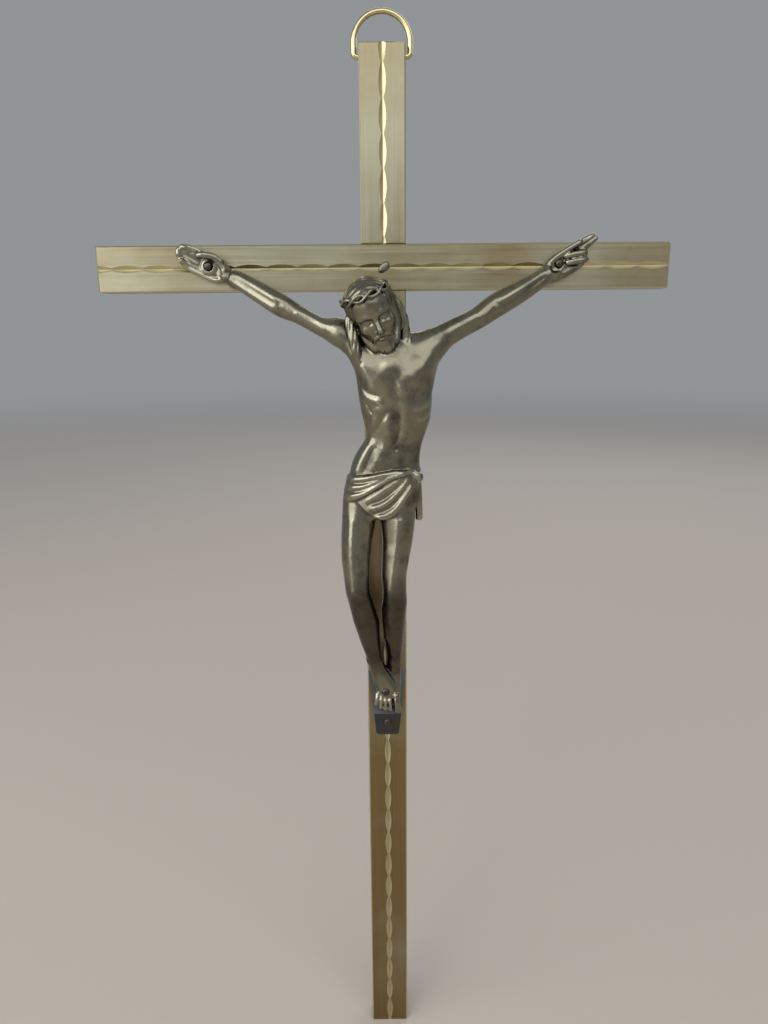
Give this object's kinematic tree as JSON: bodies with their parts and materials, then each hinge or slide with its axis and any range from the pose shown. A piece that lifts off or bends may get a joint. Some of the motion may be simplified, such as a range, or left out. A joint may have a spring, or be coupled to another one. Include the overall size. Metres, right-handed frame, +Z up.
{
  "type": "wall crucifix",
  "caption": "Brass wall crucifix: two grooved flat bars lapped into a Latin cross, a cast figure nailed on over a sloped footrest, and a wire hanging ring that swings.",
  "frame": {"origin": "middle of the crossing, on the back of the cross where it lies on the wall", "axes": "+Z up along the upright, -Y out of the front, +X to the viewer's right"},
  "size_m": [0.154, 0.0284, 0.3131],
  "materials": {
    "brushed_brass": "satin, brushed along each bar, slightly dulled",
    "ring_brass": "drawn wire, polished, with small nicks",
    "patinated_bronze": "cast, dark patina rubbed bright on the high places"
  },
  "bodies": {
    "cross": {"upright": "brushed_brass", "crossbar": "brushed_brass", "lap_rivet": "brushed_brass", "corpus": "patinated_bronze", "footrest": "patinated_bronze", "hand_nail_left": "patinated_bronze", "hand_nail_right": "patinated_bronze", "foot_nail": "patinated_bronze", "footrest_rivet": "patinated_bronze"},
    "ring": {"hanging_ring": "ring_brass"}
  },
  "joints": [
    {"name": "ring_swing", "type": "hinge", "parent": "cross", "child": "ring", "pos_m": [0, -0.003, 0.0515], "axis": [1, 0, 0], "range_deg": [-132, 132]}
  ]
}
